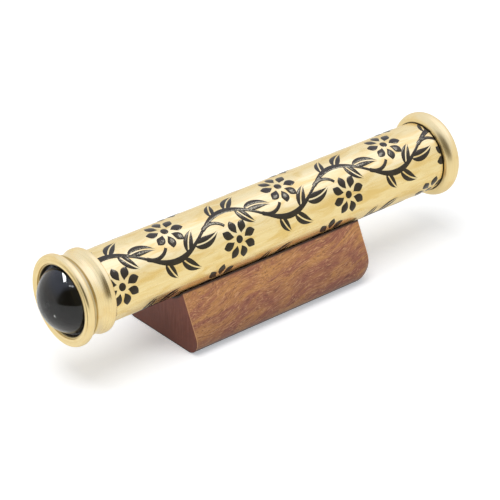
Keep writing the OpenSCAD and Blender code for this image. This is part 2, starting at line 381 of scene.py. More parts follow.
def tarnish_and_shade_in_corners(tree, section, corners):
    """Tarnish and painted shade from 0 to 1 round corners, each given as (along, away, span, strength)."""
    dirt_and_shade = 0.0
    for along, away, span, strength in corners:
        gap = node(tree, "VectorMath", {0: section, 1: (along, away, 0)}, operation="DISTANCE")
        near = ranged(tree, gap.outputs["Value"], TARNISH_AND_SHADE_CORE * span, span, strength, 0)
        dirt_and_shade = joined(tree, "MAXIMUM", near, dirt_and_shade)
    return dirt_and_shade


def turned_brass(name, corners, smooth, rough):
    """Brass polished on a lathe between two values of roughness, with tarnish and painted shade in its
    corners.
    """
    material, tree, shader, place = new_finish(name)
    section = section_place(tree, place)
    rings = noise(tree, section, (0.22, 0.22, 1000), detail=3)
    clouds = noise(tree, place, (11, 9, 9), detail=4, warp=0.6)
    colour = mixed(tree, ranged(tree, rings, 0.25, 0.75, 0, 1), RING_DEEP, RING_PALE)
    colour = mixed(tree, ranged(tree, clouds, 0.46, 0.74, 0, 0.6), colour, RING_WARM)
    dirt_and_shade = tarnish_and_shade_in_corners(tree, section, corners)
    coloured(tree, shader, mixed(tree, dirt_and_shade, colour, TARNISH_AND_SHADE))
    tree.links.new(ranged(tree, dirt_and_shade, 0.5, 1, 1, 0.2), shader.inputs["Metallic"])
    polish = ranged(tree, rings, 0.35, 0.65, rough, smooth)
    dull = joined(tree, "MAXIMUM", polish, ranged(tree, dirt_and_shade, 0, 1, 0, 0.6))
    tree.links.new(dull, shader.inputs["Roughness"])
    bumped(tree, shader, rings, 0.002)
    return material


# %% [markdown]
# The collar, its retaining ring and the eyepiece came off a lathe, and the tube is as round as they are.
# Cylinders could be stacked, but their roundings would need cuts. So half of each section is drawn as a
# closed outline and spun round the axis. Each corner carries its own rounding, which a vertex bevel
# makes, so an outline needs only its corners. A full spin is merged at the seam, and the normals are set
# outwards afterwards.

# %% Helpers for turned pieces
SPIN_STEPS = 160
ROUND_STEPS = 8
MERGE_WITHIN = 0.0005 * MM
SHARP_ABOVE = math.radians(40)


def add_piece(bm, name, material, body):
    """Turns a bmesh into a finished object that rides on a body."""
    mesh = bpy.data.meshes.new(name)
    bmesh.ops.remove_doubles(bm, verts=bm.verts[:], dist=MERGE_WITHIN)
    bmesh.ops.recalc_face_normals(bm, faces=bm.faces[:])
    bm.to_mesh(mesh)
    bm.free()
    mesh.shade_smooth()
    mesh.set_sharp_from_angle(angle=SHARP_ABOVE)
    mesh.materials.append(material)
    piece = bpy.data.objects.new(name, mesh)
    bpy.context.collection.objects.link(piece)
    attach(piece, body)
    print("%s: %d faces" % (name, len(mesh.polygons)))
    return piece


def turned_section(corners):
    """Solid turned round the barrel's axis from corners of (place along it, radius, rounding)."""
    bm = bmesh.new()
    drawn = [bm.verts.new((x, 0, AXIS_Z + radius)) for x, radius, rounding in corners]
    bm.faces.new(drawn)
    for corner, (x, radius, rounding) in zip(drawn, corners):
        if rounding:
            bmesh.ops.bevel(
                bm, geom=[corner], offset=rounding, offset_type="OFFSET", affect="VERTICES",
                segments=ROUND_STEPS, profile=0.5, material=-1,
            )
    bmesh.ops.delete(bm, geom=bm.faces[:], context="FACES_ONLY")
    bmesh.ops.spin(
        bm, geom=bm.verts[:] + bm.edges[:], cent=(0, 0, AXIS_Z), axis=(1, 0, 0),
        angle=2 * math.pi, steps=SPIN_STEPS, use_merge=True,
    )
    return bm


def even_shading(piece):
    """Lets large faces set the normals, so that a small rounding doesn't shade the flat beside it."""
    modifier = piece.modifiers.new("even shading", "WEIGHTED_NORMAL")
    modifier.keep_sharp = True


# %% [markdown]
# The tube itself is plain: a long pipe whose cut ends were eased with a file. It could stay the measured
# pipe, but a finer one shows a clean curve in its reflections, and its inside gets its own finish. The
# faces of the bore are told from the rest by their distance from the axis.

# %% Barrel tube
END_EASE = 0.20 * MM
BORE_SLACK = 0.01 * MM

tube = add_piece(
    turned_section([
        (TUBE_FRONT, TUBE_INNER_R, 0), (TUBE_FRONT, TUBE_R, END_EASE),
        (TUBE_BACK, TUBE_R, END_EASE), (TUBE_BACK, TUBE_INNER_R, 0),
    ]),
    "barrel_pipe", tube_brass, "barrel",
)
tube.data.materials.append(tube_black)
for face in tube.data.polygons:
    away = math.hypot(face.center.y, face.center.z - AXIS_Z)
    face.material_index = 1 if away < TUBE_INNER_R + BORE_SLACK else 0
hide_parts("barrel_tube")
even_shading(tube)

# %% [markdown]
# The collar is the showpiece of the turning: a fat bead round the mouth, a narrow cove behind it, and a
# band that dips and then climbs to a lip where it meets the tube. Each is a corner or two with a rounding.
# The bead's face also has a shallow channel with a fine lip inside it, next to the ball. The climb is a
# short table: how far each corner lies before the lip and under the bead, and its rounding.

# %% Lens collar
MOUTH_LIP = (0.12 * MM, 1.00 * MM)
CHANNEL = (0.38 * MM, 1.36 * MM)
CREST_DEPTH = 1.5 * MM
BEAD_ROUND = 1.5 * MM
BEAD_LENGTH = 3.3 * MM
COVE_DEPTH = 2.9 * MM
BAND_FRONT = 6.0 * MM
BAND_DEPTH = 2.0 * MM
CLIMB = [(4.0 * MM, 2.75 * MM, 0.8 * MM), (2.8 * MM, 2.58 * MM, 0.6 * MM), (1.6 * MM, 2.24 * MM, 0.6 * MM)]
LIP_DEPTH = 1.48 * MM
LIP_LENGTH = 2.5 * MM
FIXED_FIT = 0.03 * MM

bore_r = reach("ball_cup")[3] + FIXED_FIT
bead_back = COLLAR_FRONT + BEAD_LENGTH
cove_r = BEAD_R - COVE_DEPTH
band_front = COLLAR_FRONT + BAND_FRONT
lip_front = COLLAR_BACK - LIP_LENGTH
ring_front, ring_back, ring_inner_r, ring_outer_r = reach("lens_retainer")
# Tarnish and painted shade round the cove's corner, the seam with the tube and the bore by the ball.
collar_brass = turned_brass("collar brass", [
    (band_front - 0.5 * MM, cove_r, 1.3 * MM, 0.40), (COLLAR_BACK, GRIP_R, 0.45 * MM, 1.0),
    (ring_front - 0.1 * MM, bore_r, 0.60 * MM, 1.0),
], *RING_POLISH)
collar = add_piece(
    turned_section([
        (COLLAR_FRONT + 2 * MOUTH_LIP[0], bore_r, 0),
        (COLLAR_FRONT + MOUTH_LIP[0], bore_r + 0.1 * MM, 0.1 * MM),
        (COLLAR_FRONT + MOUTH_LIP[0], bore_r + MOUTH_LIP[1], 0.12 * MM),
        (COLLAR_FRONT + CHANNEL[0], bore_r + CHANNEL[1], 0.12 * MM),
        (COLLAR_FRONT, BEAD_R - CREST_DEPTH, 0.5 * MM), (COLLAR_FRONT, BEAD_R, BEAD_ROUND),
        (bead_back, BEAD_R, 1.2 * MM), (bead_back + 0.5 * MM, cove_r, 0.4 * MM),
        (band_front - 0.3 * MM, cove_r, 0.3 * MM), (band_front, BEAD_R - BAND_DEPTH, 0.5 * MM),
        *[(lip_front - before, BEAD_R - under, rounding) for before, under, rounding in CLIMB],
        (lip_front, BEAD_R - LIP_DEPTH, 0.2 * MM), (COLLAR_BACK, BEAD_R - LIP_DEPTH, 1.25 * MM),
        (COLLAR_BACK, GRIP_R, 0.1 * MM), (TUBE_FRONT, GRIP_R, 0), (TUBE_FRONT, bore_r, 0),
    ]),
    "turned_collar", collar_brass, "barrel",
)
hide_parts("lens_collar")
even_shading(collar)

# %% [markdown]
# A thin ring lies in the collar's mouth and laps over the ball, which holds it in. Its face is polished
# with the collar's, but no cloth reaches its slope towards the ball. That slope is painted brown and dark,
# as tarnish and as the shade in the gap by the ball, and shows as a dark line.

# %% Lens retainer
RING_PROUD = 0.55 * MM
RING_FLARE = 0.55 * MM
RING_EDGE_ROUND = 0.12 * MM

ring_face = ring_front - RING_PROUD
# Tarnish and painted shade over the ring's slope towards the ball.
retainer_brass = turned_brass("retainer brass", [(ring_back, ring_inner_r, 3.2 * MM, 1.0)], *RING_POLISH)
retainer = add_piece(
    turned_section([
        (ring_face, ring_inner_r + RING_FLARE, RING_EDGE_ROUND), (ring_face, ring_outer_r, 0.1 * MM),
        (ring_back, ring_outer_r, 0), (ring_back, ring_inner_r, 0.1 * MM),
    ]),
    "retaining_ring", retainer_brass, "barrel",
)
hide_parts("lens_retainer")
even_shading(retainer)

# %% [markdown]
# The eyepiece is one turning too: a fat rim, dished on the eye's side, with a plug that goes into the
# tube. The rim is a half oval, longer towards the tube, so its curve is drawn by a formula and not by
# a corner. The rounding behind it is a hair short of the whole, so that it doesn't swallow the oval's
# last point. The plug has grooves for its rubber ring and its snap ring, read from the rings in them.

# %% Eyepiece
RIM_GAP = 0.40 * MM
RIM_RECESS = 0.2 * MM
RIM_BACK_ROUND = 4.2 * MM
A_HAIR_SHORT = 0.999
RIM_POLISH = (0.29, 0.37)
RIM_HEIGHT = 3.6 * MM
OVAL_STEPS = 18
CUP_DEPTH = 3.7 * MM
CUP_FLARE = 2.7 * MM
INNER_FIT = 0.05 * MM
RUNNING_FIT = 0.06 * MM
PLUG_WALL = 2.0 * MM

plug_front, rim_back, lip_r, rim_r = reach("eyepiece_ring")
rim_front = TUBE_BACK + RIM_GAP
rim_middle = rim_back - RIM_BACK_ROUND
plug_r = TUBE_INNER_R - RUNNING_FIT
plug_bore_r = plug_r - PLUG_WALL
plate_back = reach("eye_plate")[1]
seal_front, seal_back, seal_inner_r, _ = reach("plug_o_ring")
snap_front, snap_back, _, snap_outer_r = reach("window_snap_ring")
oval = []
for step in range(OVAL_STEPS + 1):
    turn = math.pi / 2 * step / OVAL_STEPS
    along = rim_middle - (rim_middle - rim_front) * math.cos(turn)
    oval.append((along, rim_r - RIM_HEIGHT * (1 - math.sin(turn)), 0))
# Tarnish and painted shade in the gap between the rim and the tube.
eyepiece_brass = turned_brass(
    "eyepiece brass", [(rim_front, TUBE_R - 0.3 * MM, 1.05 * MM, 1.0)], *RIM_POLISH)
eyepiece = add_piece(
    turned_section([
        (rim_front + RIM_RECESS, plug_r, 0), (rim_front + RIM_RECESS, TUBE_R, 0), *oval,
        (rim_back, rim_r, A_HAIR_SHORT * RIM_BACK_ROUND), (rim_back, lip_r + CUP_FLARE, 0.5 * MM),
        (rim_back - CUP_DEPTH, lip_r, 0.2 * MM), (plate_back + INNER_FIT, lip_r, 0),
        (plate_back + INNER_FIT, plug_bore_r, 0), (snap_back, plug_bore_r, 0),
        (snap_back, snap_outer_r + INNER_FIT, 0), (snap_front - INNER_FIT, snap_outer_r + INNER_FIT, 0),
        (snap_front - INNER_FIT, plug_bore_r, 0), (plug_front, plug_bore_r, 0.3 * MM),
        (plug_front, plug_r, 0.4 * MM), (seal_front - INNER_FIT, plug_r, 0),
        (seal_front - INNER_FIT, seal_inner_r - INNER_FIT, 0),
        (seal_back + INNER_FIT, seal_inner_r - INNER_FIT, 0), (seal_back + INNER_FIT, plug_r, 0),
    ]),
    "turned_eyepiece", eyepiece_brass, "eyepiece",
)
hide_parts("eyepiece_ring")
even_shading(eyepiece)

# %% [markdown]
# The ball is solid clear glass. It looks black because everything behind it is black: light that enters
# has nothing to come back from. So it gets a real glass shader and the dark comes from the cup and
# mask behind it. The mesh is an arc spun into a ball, with its poles on the barrel's axis.

# %% Ball lens
ARC_STEPS = 72


def clear_glass(name, smear):
    """Clear glass with the faint smears that fingers leave in its gloss."""
    material, tree, shader, place = new_finish(name)
    set_plain(shader, Transmission_Weight=1.0, IOR=1.52, Base_Color=(0.93, 0.95, 0.96, 1))
    roughened(tree, shader, noise(tree, place, (6, 6, 6), detail=4), 0.0, smear, 0.45, 0.75)
    return material


ball_front, ball_back, _, _ = reach("ball_lens")
ball_middle = Vector(((ball_front + ball_back) / 2, 0, AXIS_Z))
bm = bmesh.new()
pole = bm.verts.new((ball_front, 0, AXIS_Z))
bmesh.ops.spin(bm, geom=[pole], cent=ball_middle, axis=(0, 1, 0), angle=math.pi, steps=ARC_STEPS)
bmesh.ops.spin(
    bm, geom=bm.verts[:] + bm.edges[:], cent=ball_middle, axis=(1, 0, 0),
    angle=2 * math.pi, steps=SPIN_STEPS, use_merge=True,
)
ball = add_piece(bm, "glass_ball", clear_glass("ball glass", 0.02), "barrel")
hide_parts("ball_lens")

# %% [markdown]
# The ball mirrors the studio's two bright windows as small marks, and a bright dot low on its left. They
# are lamps that light the ball alone, through Blender's light linking, because the satin brass would
# spread them into broad glare.

# %% Windows in the ball
WINDOWS = [
    ("tall window", (-0.440, 0.345, 1.035), (0.68, 0.17), 9.0),
    ("small window", (-0.582, -0.350, 0.980), (0.22, 0.10), 0.4),
    ("bright dot", (-0.1327, 0.0011, 0.0171), (0.003, 0.003), 0.0008),
]

in_windows = bpy.data.collections.new("lit by the windows")
in_windows.objects.link(ball)
for window in WINDOWS:
    lamp = softbox_lamp(*window, in_reflections=True)
    lamp.light_linking.receiver_collection = in_windows
print("lamps with windows:", len(bpy.data.lights))

# %% [markdown]
# The stand is sawn from a rosewood whose figure runs in long streaks, aslant to the block. A picture of
# planks would have to be unwrapped onto it, and would break at the edges. So the colour is a solid
# pattern that runs through the wood, and a slow noise bends the grain as growth does. Oil darkens the
# ends, because cut grain drinks more of it, and painted shade darkens them further; painted light makes
# them paler towards the top, in upright lines. The shader tells the ends by the face's own normal. The
# sides are darker low down, and their end edges are paler, partly from wear and partly a painted
# highlight. Painted shadow lies along the foot, beside the tube and just inside the groove's brink.

# %% Rosewood
WOOD_GOLDEN = (0.56, 0.280, 0.100)
WOOD_RED = (0.355, 0.140, 0.085)
WOOD_UMBER = (0.18, 0.070, 0.044)
WOOD_PALE = (0.70, 0.395, 0.200)
SIDE_LOW = (0.73, 0.685, 0.735)
SIDE_HIGH = (1.14, 1.10, 1.07)
# Painted shadow along the foot, beside the tube and inside the groove's brink.
PAINTED_CONTACT_SHADE = (0.022, 0.011, 0.008)
# Oiled end grain with painted shade, paler towards the top as painted light.
END_OIL_AND_SHADE_LOW = (0.335, 0.153, 0.165)
END_OIL_AND_SHADE_HIGH = (0.50, 0.288, 0.395)
GRAIN_RISE = math.radians(11)
GRAIN_YAW = math.radians(4)
DRIFT_LENGTH = 28 * MM
DRIFT_WIDTH = 8 * MM
# Pale line along the end edges: wear and a painted highlight.
WEAR_AND_HIGHLIGHT_WIDTH = 0.6 * MM
SIDE_HEIGHTS = (6 * MM, 25 * MM)
END_SHADE_HEIGHTS = (4 * MM, 24 * MM)
END_LINE_SHIFT = 6 * MM
# Where the painted shadow lies: low on the sides and ends, near the tube and in the groove.
SIDE_FOOT_SHADE_HEIGHTS = (2.4 * MM, 3.9 * MM)
END_FOOT_SHADE_HEIGHTS = (0.3 * MM, 1.0 * MM)
TUBE_SHADE_FADE = (TUBE_R + 0.8 * MM, TUBE_R + 1.6 * MM)
GROOVE_SKIN = (TUBE_R + 0.34 * MM, TUBE_R + 0.42 * MM)
BRINK_DEPTHS = (5 * MM, 2 * MM)

stand_low, stand_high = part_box("stand_block")


def block_figure(tree, place):
    """Colour of the wood itself, along a bent grain: broad figure, layers, short fibres and dark pores."""
    slant = (0, -GRAIN_RISE, GRAIN_YAW)
    drift = node(tree, "TexNoise", {"Vector": place, "Scale": 1 / DRIFT_LENGTH, "Detail": 1.0})
    inputs = {0: drift.outputs["Color"], 1: (0, DRIFT_WIDTH, DRIFT_WIDTH), 2: place}
    place = node(tree, "VectorMath", inputs, operation="MULTIPLY_ADD").outputs[0]
    figure = noise(tree, place, (32, 5, 6.5), detail=4, turn=slant, warp=1.3)
    layers = noise(tree, place, (9, 0.36, 0.80), detail=5, turn=slant, warp=1.2)
    fibres = noise(tree, place, (4.4, 0.32, 0.65), detail=4, turn=slant, warp=0.9)
    pores = noise(tree, place, (2.6, 0.26, 0.40), detail=1, turn=slant)
    colour = mixed(tree, ranged(tree, figure, 0.37, 0.66, 0, 1), WOOD_RED, WOOD_GOLDEN)
    colour = mixed(tree, ranged(tree, layers, 0.49, 0.70, 0, 0.75), colour, WOOD_UMBER)
    colour = mixed(tree, ranged(tree, fibres, 0.50, 0.68, 0, 0.80), colour, WOOD_PALE)
    colour = mixed(tree, ranged(tree, pores, 0.62, 0.72, 0, 0.75), colour, WOOD_UMBER)
    return colour, fibres


def streaked_rosewood():
    """Oiled rosewood; painted shade and light on the ends, a painted highlight on the edges, painted
    shadow by foot and groove.
    """
    material, tree, shader, place = new_finish("streaked rosewood")
    set_plain(shader, Specular_IOR_Level=0.35)
    colour, fibres = block_figure(tree, place)
    axes = node(tree, "SeparateXYZ", {0: place}).outputs
    side_tone = mixed(tree, ranged(tree, axes["Z"], *SIDE_HEIGHTS, 0, 1), SIDE_LOW, SIDE_HIGH)
    colour = mixed(tree, 1.0, colour, side_tone, "MULTIPLY")
    along = joined(tree, "ABSOLUTE", axes["X"])
    # Paler edges at both ends, partly wear and partly a painted highlight.
    wear_and_highlight = ranged(tree, along, stand_high.x - WEAR_AND_HIGHLIGHT_WIDTH, stand_high.x - 0.5 * WEAR_AND_HIGHLIGHT_WIDTH, 0, 0.6)
    colour = mixed(tree, wear_and_highlight, colour, WOOD_PALE)
    facing = node(tree, "SeparateXYZ", {0: node(tree, "TexCoord").outputs["Normal"]}).outputs["X"]
    on_end = ranged(tree, joined(tree, "ABSOLUTE", facing), 0.3, 0.8, 0, 1)
    # Ends: oil and painted shade, paler towards the top by painted light, broken into upright lines.
    lines = noise(tree, place, (9, 0.55, 8), detail=3)
    shift = ranged(tree, lines, 0.3, 0.7, -END_LINE_SHIFT, END_LINE_SHIFT)
    end_height = joined(tree, "ADD", axes["Z"], shift)
    end_oil_and_shade = mixed(tree, ranged(tree, end_height, *END_SHADE_HEIGHTS, 0, 1), END_OIL_AND_SHADE_LOW, END_OIL_AND_SHADE_HIGH)
    colour = mixed(tree, on_end, colour, mixed(tree, 1.0, colour, end_oil_and_shade, "MULTIPLY"))
    # Painted shadow along the foot, on the sides and the ends.
    low_side = ranged(tree, axes["Z"], *SIDE_FOOT_SHADE_HEIGHTS, 0.9, 0)
    low_end = ranged(tree, axes["Z"], *END_FOOT_SHADE_HEIGHTS, 0.8, 0)
    foot_shade = mixed_number(tree, on_end, low_side, low_end)
    # Painted shadow beside the tube and just inside the groove's brink.
    away = node(tree, "SeparateXYZ", {0: section_place(tree, place)}).outputs["Y"]
    shade_by_tube = ranged(tree, away, *TUBE_SHADE_FADE, 0.95, 0)
    brink_low, brink_high = [stand_high.z - depth for depth in BRINK_DEPTHS]
    in_groove = ranged(tree, axes["Z"], brink_low, brink_high, 0.3, 0.9)
    groove_shade = joined(tree, "MULTIPLY", shade_by_tube, ranged(tree, away, *GROOVE_SKIN, in_groove, 1))
    coloured(tree, shader, mixed(tree, joined(tree, "MAXIMUM", foot_shade, groove_shade), colour, PAINTED_CONTACT_SHADE))
    roughened(tree, shader, fibres, 0.36, 0.50)
    bumped(tree, shader, fibres, 0.015)
    return material


# %% [markdown]
# The block could be a cube with a cylinder cut out, but a Boolean leaves ragged faces. Here its outline
# is drawn instead: one point spun below the barrel's axis draws the groove, and a point spun at each
# foot draws its rounding. Such outlines are set along the block and bridged. The feet are rubbed rounder
# towards the eyepiece, so the last few outlines have larger feet, and the far foot starts out sharper.

# %% Draw the stand's outline
GROOVE_GAP = 0.3 * MM
EDGE_LAND = 0.3 * MM
SIDE_LEAN = math.radians(26)
FOOT_ROUND = 6.3 * MM
GROOVE_STEPS = 56
FOOT_STEPS = 20

groove_r = TUBE_R + GROOVE_GAP
groove_half_w = math.sqrt(groove_r ** 2 - (AXIS_Z - stand_high.z) ** 2)
top_half_w = groove_half_w + EDGE_LAND
groove_turn = 2 * math.asin(groove_half_w / groove_r)


def arc_round(bm, start, middle, angle, steps):
    """Draws an arc from a point round a middle, in the plane of the outline. Gives its two ends."""
    first = bm.verts.new(start)
    swept = bmesh.ops.spin(bm, geom=[first], cent=middle, axis=(1, 0, 0), angle=angle, steps=steps)
    return first, next(item for item in swept["geom_last"] if isinstance(item, bmesh.types.BMVert))


def foot_place(foot_round):
    """Distance from the barrel's plane to the middle of a foot's rounding."""
    side_y = top_half_w + (stand_high.z - foot_round) * math.tan(SIDE_LEAN)
    return side_y - foot_round / math.cos(SIDE_LEAN)


def stand_outline(bm, x, near_round, far_round):
    """Closed outline of the block at a place along it, as a list of edges."""
    drawn_before = set(bm.edges)
    foot_turn = math.pi / 2 + SIDE_LEAN
    near_y, far_y = foot_place(near_round), foot_place(far_round)
    near_side_y = near_y + near_round * math.cos(SIDE_LEAN)
    near_side_z = near_round * (1 + math.sin(SIDE_LEAN))
    brink, far_brink = arc_round(
        bm, (x, groove_half_w, stand_high.z), (x, 0, AXIS_Z), -groove_turn, GROOVE_STEPS)
    near_top = bm.verts.new((x, -top_half_w, stand_high.z))
    near_side, near_foot = arc_round(
        bm, (x, -near_side_y, near_side_z), (x, -near_y, near_round), foot_turn, FOOT_STEPS)
    far_foot, far_side = arc_round(bm, (x, far_y, 0), (x, far_y, far_round), foot_turn, FOOT_STEPS)
    far_top = bm.verts.new((x, top_half_w, stand_high.z))
    for ends in ((far_brink, near_top), (near_top, near_side), (near_foot, far_foot),
                 (far_side, far_top), (far_top, brink)):
        bm.edges.new(ends)
    return [edge for edge in bm.edges if edge not in drawn_before]


# %% [markdown]
# Bridging joins each outline to the next with a ring of faces, and the two end outlines are filled.
# Then every edge round the two ends is eased with a small bevel, as sandpaper would.

# %% Wooden stand
FRESH_ROUND = 3.2 * MM
RUBBED_LENGTH = 7.0 * MM
RUBBED_MORE = 3.0 * MM
RUBBED_STEPS = 6
EDGE_EASE = 0.24 * MM

bm = bmesh.new()
outlines = [stand_outline(bm, stand_low.x, FOOT_ROUND, FRESH_ROUND)]
for step in range(RUBBED_STEPS + 1):
    share = step / RUBBED_STEPS
    x = stand_high.x - (1 - share) * RUBBED_LENGTH
    foot_round = FOOT_ROUND + RUBBED_MORE * share ** 2
    outlines.append(stand_outline(bm, x, foot_round, foot_round))
for first, second in zip(outlines, outlines[1:]):
    bmesh.ops.bridge_loops(bm, edges=first + second)
for end in (outlines[0], outlines[-1]):
    bmesh.ops.contextual_create(bm, geom=end)
bmesh.ops.recalc_face_normals(bm, faces=bm.faces[:])
bmesh.ops.bevel(
    bm, geom=outlines[0] + outlines[-1], offset=EDGE_EASE, offset_type="OFFSET", affect="EDGES",
    segments=3, profile=0.5, material=-1, clamp_overlap=True,
)
stand = add_piece(bm, "wooden_stand", streaked_rosewood(), "stand")
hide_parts("stand_block")
even_shading(stand)
print("stand half width %.2f mm" % (max(v.co.y for v in stand.data.vertices) / MM))

# %% [markdown]
# The tube is decorated with black enamel in engraved lines. The pattern here is a running vine, one of
# the oldest border ornaments: a wavy stem with a blossom in each hollow and leaves along its way. Three
# vines run along the tube, each a third of a wave behind its neighbour, so that they close round it.
# It is drawn flat first, as strokes of points with a half width: s runs along the tube, v round it.

# %% Draw the parts of the vine flat
VINES = 3
WAVES = 3
STEM_SWING = 6.6 * MM
STROKE_STEPS = 12
LEAF_RIB = 0.6 * MM
LEAF_SKEW = 0.72
THINNEST = 0.06 * MM
BLOSSOM_R = 9.0 * MM
BLOSSOM_PETALS = 8
PETAL_FROM = 2.9 * MM
PETAL_WIDTH = 3.9 * MM
PETAL_SKEW = 1.2
PETAL_BEND = 0.6

vine_from = COLLAR_BACK - 0.3 * MM
wave = (TUBE_BACK - vine_from) / WAVES


def arc(point, heading, length, bend):
    """Walks along an arc that turns by bend. Gives each point, its heading and its share of the way."""
    walked = []
    for step in range(STROKE_STEPS + 1):
        walked.append((point, heading, step / STROKE_STEPS))
        point = point + length / STROKE_STEPS * Vector((math.cos(heading), math.sin(heading)))
        heading += bend / STROKE_STEPS
    return walked


def almond(share, skew):
    """Width of an almond at a share of its length, where its widest place is 1."""
    return max(math.sin(math.pi * share ** skew), 0.01) ** 0.9


def leaf(point, heading, length, width, bend):
    """Two halves of an almond leaf, parted by a bare rib."""
    halves = []
    for side in (-1, 1):
        half = []
        for spot, aim, share in arc(point, heading, length, bend):
            full = max(0.5 * (width * almond(share, LEAF_SKEW) - LEAF_RIB), THINNEST)
            spot = spot + side * 0.5 * (LEAF_RIB + full) * Vector((-math.sin(aim), math.cos(aim)))
            half.append((*spot, 0.5 * full))
        halves.append(half)
    return halves


def bud(point, radius):
    """Round dot, as a short stroke whose half width follows a circle."""
    turns = [math.pi * step / STROKE_STEPS for step in range(1, STROKE_STEPS)]
    return [(point.x - radius * math.cos(t), point.y, radius * math.sin(t)) for t in turns]


def blossom(middle, turn):
    """Bud with a ring of petals round it."""
    strokes = [bud(middle, 0.6 * PETAL_FROM)]
    for petal in range(BLOSSOM_PETALS):
        aim = turn + 2 * math.pi * petal / BLOSSOM_PETALS
        foot = middle + PETAL_FROM * Vector((math.cos(aim), math.sin(aim)))
        walked = arc(foot, aim - PETAL_BEND / 2, BLOSSOM_R - PETAL_FROM, PETAL_BEND)
        strokes.append([
            (*spot, 0.5 * PETAL_WIDTH * almond(share, PETAL_SKEW)) for spot, _, share in walked
        ])
    return strokes


# %% [markdown]
# The parts are then set out along one wave and repeated. Every half wave has the same parts, turned to
# the other side, so a loop with a side of 1 or -1 places them all. A leaf is given by where it springs
# from, in millimetres past the crest of the wave, how far it turns away from the stem, its length and
# width in millimetres, and its bend.

# %% Set out the vines
LEAVES = [(10.5, -0.75, 13.5, 5.2, 0.8), (2.5, -1.15, 11.5, 4.8, 0.7), (-5.5, -1.0, 9.5, 4.2, 0.6),
          (6.5, 0.9, 11.0, 4.6, -0.7)]
STEM_STEPS = 40
STEM_HALF_WIDTH = 1.02 * MM
STEM_SWELL = 0.36 * MM
STALK_FROM = -13.5 * MM
STALK_LENGTH = 12.0 * MM
STALK_BEND = 1.6
STALK_HALF_WIDTH = 1.00 * MM
STALK_TAPER = 0.30 * MM
VINE_SHIFT = 0.06


def stem_at(s, start):
    """Point of a stem and its heading at a place along the tube."""
    phase = 2 * math.pi * (s - start) / wave
    slope = STEM_SWING * 2 * math.pi / wave * math.sin(phase)
    return Vector((s, -STEM_SWING * math.cos(phase))), math.atan(slope)


def stem(start):
    """Stem along the whole tube, thicker at its crests."""
    line = []
    for step in range(STEM_STEPS * (WAVES + 1) + 1):
        s = vine_from - wave / 2 + wave * step / STEM_STEPS
        swell = math.cos(4 * math.pi * (s - start) / wave)
        line.append((*stem_at(s, start)[0], STEM_HALF_WIDTH + STEM_SWELL * swell))
    return line


def vine(start):
    """All strokes of one vine: its stem, then the blossom and the leaves of every half wave."""
    strokes = [stem(start)]
    for half in range(-2, 2 * WAVES + 3):
        side = 1 if half % 2 == 0 else -1
        crest = start + half * wave / 2
        stalk = arc(*stem_at(crest + STALK_FROM, start), STALK_LENGTH, side * STALK_BEND)
        strokes.append([(*spot, STALK_HALF_WIDTH - STALK_TAPER * share) for spot, _, share in stalk])
        tip, aim, _ = stalk[-1]
        middle = tip + BLOSSOM_R * Vector((math.cos(aim), math.sin(aim)))
        strokes += blossom(middle, aim + math.pi / BLOSSOM_PETALS)
        for along, turn, length, width, bend in LEAVES:
            point, heading = stem_at(crest + along * MM, start)
            strokes += leaf(point, heading + side * turn, length * MM, width * MM, side * bend)
    return strokes


vines = [vine(vine_from + (row / VINES + VINE_SHIFT) * wave) for row in range(VINES)]
print("strokes:", sum(len(strokes) for strokes in vines))

# %% [markdown]
# Each stroke becomes a poly spline whose point radius is its half width, and all splines share one bevel
# profile: a shallow lens that stands a little proud and reaches below the brass. The flat curve is made
# a mesh, cut off square at both ends of the tube, and then wrapped: s stays the place along the barrel,
# v becomes an angle and the height becomes a distance from the axis.

# %% Wrap the vines round the tube
PROUD = 0.09
SUNK = 0.14
SUNK_WIDTH = 0.9
PROFILE_STEPS = 5
CUT_WITHIN = 0.0001 * MM
VINE_TURN = math.radians(40)
ENAMEL_DARK = (0.005, 0.004, 0.003)
ENAMEL_WORN = (0.015, 0.012, 0.009)
ENAMEL_GLINT = (1.0, 0.83, 0.55, 1)


def lens_profile():
    """Flat closed profile of one unit of half width, as a curve object that is only used as a shape."""
    shape = bpy.data.curves.new("stroke profile", "CURVE")
    shape.dimensions = "2D"
    shape.fill_mode = "NONE"
    rim = shape.splines.new("POLY")
    over = [math.pi * step / PROFILE_STEPS for step in range(PROFILE_STEPS + 1)]
    outline = [(math.cos(t), PROUD * math.sin(t)) for t in over]
    outline += [(-SUNK_WIDTH, -SUNK), (SUNK_WIDTH, -SUNK)]
    rim.points.add(len(outline) - 1)
    for point, (x, y) in zip(rim.points, outline):
        point.co = (x, y, 0, 1)
    rim.use_cyclic_u = True
    return bpy.data.objects.new("stroke profile", shape)


def flat_strokes(rows):
    """Mesh of all strokes, laid flat with v on Y and the outside of the tube at +Z."""
    drawing = bpy.data.curves.new("vine drawing", "CURVE")
    drawing.dimensions = "3D"
    drawing.twist_mode = "Z_UP"
    drawing.bevel_mode = "OBJECT"
    profile = lens_profile()
    drawing.bevel_object = profile
    drawing.use_fill_caps = True
    for row, strokes in enumerate(rows):
        middle = 2 * math.pi * TUBE_R * row / VINES
        for stroke in strokes:
            spline = drawing.splines.new("POLY")
            spline.points.add(len(stroke) - 1)
            for point, (s, v, half_width) in zip(spline.points, stroke):
                point.co = (s, v + middle, 0, 1)
                point.radius = half_width
    holder = bpy.data.objects.new("vine drawing", drawing)
    bpy.context.collection.objects.link(holder)
    mesh = bpy.data.meshes.new_from_object(holder.evaluated_get(bpy.context.evaluated_depsgraph_get()))
    bpy.data.objects.remove(holder)
    bpy.data.objects.remove(profile)
    return mesh


